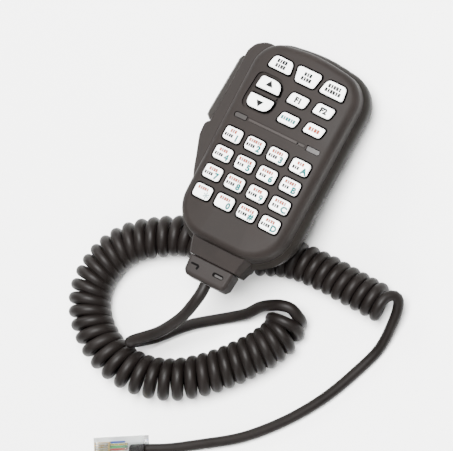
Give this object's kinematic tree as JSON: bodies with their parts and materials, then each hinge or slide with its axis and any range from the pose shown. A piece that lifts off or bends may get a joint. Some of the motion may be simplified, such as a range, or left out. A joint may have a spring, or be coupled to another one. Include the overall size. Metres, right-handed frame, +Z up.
{
  "type": "hand microphone",
  "caption": "Palm-held two-way radio microphone with a keypad, a squeeze-to-talk side bar, a curly cord and a clear modular plug.",
  "frame": {"origin": "centre of the foot of the hand unit's own box, on the surface that everything lies on", "axes": "+Z up from the surface, +Y along the hand unit towards its top end, +X to the hand unit's right as the keypad is read; the keypad face is tipped 12 degrees so that its cord end is the higher end"},
  "size_m": [0.1367, 0.1968, 0.0426],
  "materials": {
    "case": "fine matte texture",
    "keys": "smooth satin",
    "bar": "fine matte texture",
    "rubber": "matte",
    "mat": "matte",
    "board": "solder mask",
    "chip": "moulded",
    "steel": "plated",
    "lens": "smoked, translucent",
    "cord": "satin",
    "clear": "clear moulded plastic",
    "gold": "gold plated"
  },
  "bodies": {
    "microphone": {"front_case": "case", "back_case": "case", "key_mat": "mat", "left_lamp_lens": "lens", "left_led": "keys", "right_lamp_lens": "lens", "right_led": "keys", "capsule_boot": "rubber", "microphone_capsule": "steel", "talk_bar_pin": "steel", "talk_switch_boot": "rubber", "talk_switch": "chip", "circuit_board": "board", "processor_chip": "chip", "crystal": "steel", "filter_capacitor": "chip", "cord_connector": "lens", "cord_gland": "rubber", "inner_lead": "cord", "case_screw_1": "steel", "case_screw_2": "steel", "case_screw_3": "steel", "case_screw_4": "steel", "hanger_stud": "steel", "stud_screw": "steel", "cord_mic_tail": "cord", "cord_curl": "cord", "cord_plug_tail": "cord", "plug_body": "clear", "plug_contacts": "gold"},
    "left_top_key_body": {"left_top_key": "keys"},
    "middle_top_key_body": {"middle_top_key": "keys"},
    "right_top_key_body": {"right_top_key": "keys"},
    "up_key_body": {"up_key": "keys"},
    "down_key_body": {"down_key": "keys"},
    "first_function_key_body": {"first_function_key": "keys"},
    "second_function_key_body": {"second_function_key": "keys"},
    "tone_key_body": {"tone_key": "keys"},
    "function_key_body": {"function_key": "keys"},
    "key_1_body": {"key_1": "keys"},
    "key_2_body": {"key_2": "keys"},
    "key_3_body": {"key_3": "keys"},
    "key_a_body": {"key_a": "keys"},
    "key_4_body": {"key_4": "keys"},
    "key_5_body": {"key_5": "keys"},
    "key_6_body": {"key_6": "keys"},
    "key_b_body": {"key_b": "keys"},
    "key_7_body": {"key_7": "keys"},
    "key_8_body": {"key_8": "keys"},
    "key_9_body": {"key_9": "keys"},
    "key_c_body": {"key_c": "keys"},
    "key_star_body": {"key_star": "keys"},
    "key_0_body": {"key_0": "keys"},
    "key_hash_body": {"key_hash": "keys"},
    "key_d_body": {"key_d": "keys"},
    "talk_bar_body": {"talk_bar": "bar"},
    "plug_latch_body": {"plug_latch": "clear"}
  },
  "joints": [
    {"name": "left_top_key_press", "type": "slide", "parent": "microphone", "child": "left_top_key_body", "axis": [0, -0.2079, -0.9781], "range_m": [0, 0.0008], "stiffness_N_per_m": 300},
    {"name": "middle_top_key_press", "type": "slide", "parent": "microphone", "child": "middle_top_key_body", "axis": [0, -0.2079, -0.9781], "range_m": [0, 0.0008], "stiffness_N_per_m": 300},
    {"name": "right_top_key_press", "type": "slide", "parent": "microphone", "child": "right_top_key_body", "axis": [0, -0.2079, -0.9781], "range_m": [0, 0.0008], "stiffness_N_per_m": 300},
    {"name": "up_key_press", "type": "slide", "parent": "microphone", "child": "up_key_body", "axis": [0, -0.2079, -0.9781], "range_m": [0, 0.0008], "stiffness_N_per_m": 300},
    {"name": "down_key_press", "type": "slide", "parent": "microphone", "child": "down_key_body", "axis": [0, -0.2079, -0.9781], "range_m": [0, 0.0008], "stiffness_N_per_m": 300},
    {"name": "first_function_key_press", "type": "slide", "parent": "microphone", "child": "first_function_key_body", "axis": [0, -0.2079, -0.9781], "range_m": [0, 0.0008], "stiffness_N_per_m": 300},
    {"name": "second_function_key_press", "type": "slide", "parent": "microphone", "child": "second_function_key_body", "axis": [0, -0.2079, -0.9781], "range_m": [0, 0.0008], "stiffness_N_per_m": 300},
    {"name": "tone_key_press", "type": "slide", "parent": "microphone", "child": "tone_key_body", "axis": [0, -0.2079, -0.9781], "range_m": [0, 0.0008], "stiffness_N_per_m": 300},
    {"name": "function_key_press", "type": "slide", "parent": "microphone", "child": "function_key_body", "axis": [0, -0.2079, -0.9781], "range_m": [0, 0.0008], "stiffness_N_per_m": 300},
    {"name": "key_1_press", "type": "slide", "parent": "microphone", "child": "key_1_body", "axis": [0, -0.2079, -0.9781], "range_m": [0, 0.0008], "stiffness_N_per_m": 300},
    {"name": "key_2_press", "type": "slide", "parent": "microphone", "child": "key_2_body", "axis": [0, -0.2079, -0.9781], "range_m": [0, 0.0008], "stiffness_N_per_m": 300},
    {"name": "key_3_press", "type": "slide", "parent": "microphone", "child": "key_3_body", "axis": [0, -0.2079, -0.9781], "range_m": [0, 0.0008], "stiffness_N_per_m": 300},
    {"name": "key_a_press", "type": "slide", "parent": "microphone", "child": "key_a_body", "axis": [0, -0.2079, -0.9781], "range_m": [0, 0.0008], "stiffness_N_per_m": 300},
    {"name": "key_4_press", "type": "slide", "parent": "microphone", "child": "key_4_body", "axis": [0, -0.2079, -0.9781], "range_m": [0, 0.0008], "stiffness_N_per_m": 300},
    {"name": "key_5_press", "type": "slide", "parent": "microphone", "child": "key_5_body", "axis": [0, -0.2079, -0.9781], "range_m": [0, 0.0008], "stiffness_N_per_m": 300},
    {"name": "key_6_press", "type": "slide", "parent": "microphone", "child": "key_6_body", "axis": [0, -0.2079, -0.9781], "range_m": [0, 0.0008], "stiffness_N_per_m": 300},
    {"name": "key_b_press", "type": "slide", "parent": "microphone", "child": "key_b_body", "axis": [0, -0.2079, -0.9781], "range_m": [0, 0.0008], "stiffness_N_per_m": 300},
    {"name": "key_7_press", "type": "slide", "parent": "microphone", "child": "key_7_body", "axis": [0, -0.2079, -0.9781], "range_m": [0, 0.0008], "stiffness_N_per_m": 300},
    {"name": "key_8_press", "type": "slide", "parent": "microphone", "child": "key_8_body", "axis": [0, -0.2079, -0.9781], "range_m": [0, 0.0008], "stiffness_N_per_m": 300},
    {"name": "key_9_press", "type": "slide", "parent": "microphone", "child": "key_9_body", "axis": [0, -0.2079, -0.9781], "range_m": [0, 0.0008], "stiffness_N_per_m": 300},
    {"name": "key_c_press", "type": "slide", "parent": "microphone", "child": "key_c_body", "axis": [0, -0.2079, -0.9781], "range_m": [0, 0.0008], "stiffness_N_per_m": 300},
    {"name": "key_star_press", "type": "slide", "parent": "microphone", "child": "key_star_body", "axis": [0, -0.2079, -0.9781], "range_m": [0, 0.0008], "stiffness_N_per_m": 300},
    {"name": "key_0_press", "type": "slide", "parent": "microphone", "child": "key_0_body", "axis": [0, -0.2079, -0.9781], "range_m": [0, 0.0008], "stiffness_N_per_m": 300},
    {"name": "key_hash_press", "type": "slide", "parent": "microphone", "child": "key_hash_body", "axis": [0, -0.2079, -0.9781], "range_m": [0, 0.0008], "stiffness_N_per_m": 300},
    {"name": "key_d_press", "type": "slide", "parent": "microphone", "child": "key_d_body", "axis": [0, -0.2079, -0.9781], "range_m": [0, 0.0008], "stiffness_N_per_m": 300},
    {"name": "talk_bar_squeeze", "type": "hinge", "parent": "microphone", "child": "talk_bar_body", "pos_m": [-0.0258, 0.01148, 0.02069], "axis": [0, -0.2079, -0.9781], "range_deg": [0, 3], "stiffness_Nm_per_rad": 0.15},
    {"name": "plug_latch_flex", "type": "hinge", "parent": "microphone", "child": "plug_latch_body", "pos_m": [-0.02134, -0.13908, 0.0071], "axis": [0.4829, -0.8757, 0], "range_deg": [0, 6], "stiffness_Nm_per_rad": 0.05}
  ]
}
